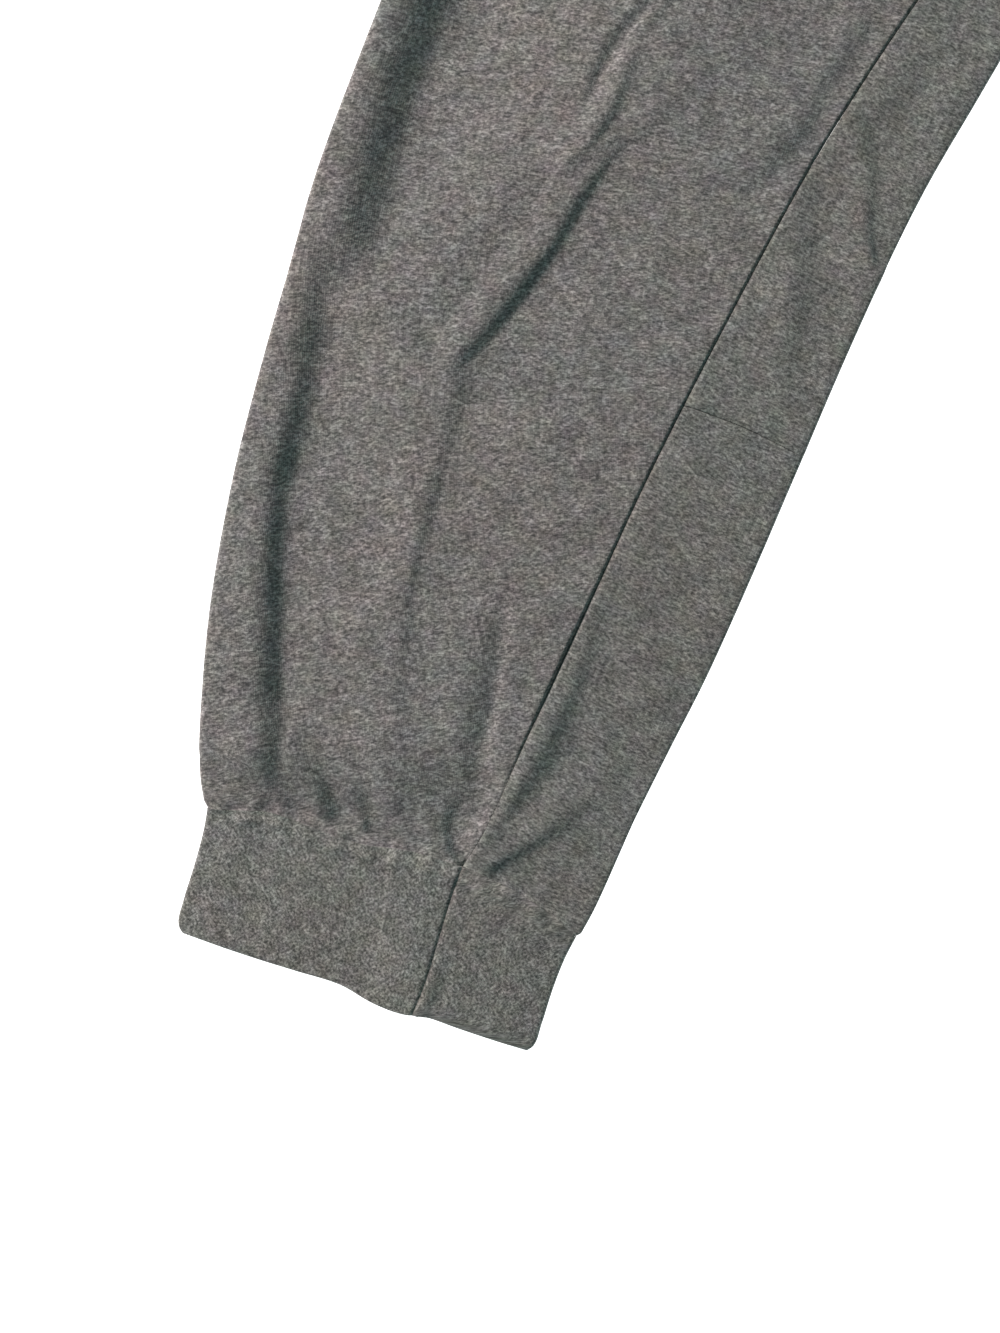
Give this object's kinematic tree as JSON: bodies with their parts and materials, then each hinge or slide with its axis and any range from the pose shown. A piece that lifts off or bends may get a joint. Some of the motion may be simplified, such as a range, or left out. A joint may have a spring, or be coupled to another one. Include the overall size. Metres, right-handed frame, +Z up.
{
  "type": "jogger sweatpants",
  "caption": "Adult jogger sweatpants laid flat, front up: straight-fronted legs with a forward inner seam and inner-leg panels, deep folded cuffs and a gathered elastic waistband.",
  "frame": {"origin": "centre of the garment's box, on the surface that it lies on", "axes": "+X towards the wearer's left, +Y from the hems to the waist, +Z up from the surface, out of the garment's front"},
  "size_m": [0.6624, 1.008, 0.0087],
  "materials": {
    "panel_fleece": "grey melange knit fleece, matt, brushed",
    "strip_fleece": "grey melange knit fleece cut along another grain, matt",
    "band_fleece": "grey melange knit fleece folded double, matt"
  },
  "bodies": {
    "root": {"right_front_panel": "panel_fleece", "left_front_panel": "panel_fleece", "right_back_panel": "panel_fleece", "left_back_panel": "panel_fleece", "right_inner_panel_lower": "strip_fleece", "left_inner_panel_lower": "strip_fleece", "right_inner_panel_upper": "strip_fleece", "left_inner_panel_upper": "strip_fleece", "right_cuff": "band_fleece", "left_cuff": "band_fleece", "waistband": "band_fleece"}
  },
  "joints": []
}
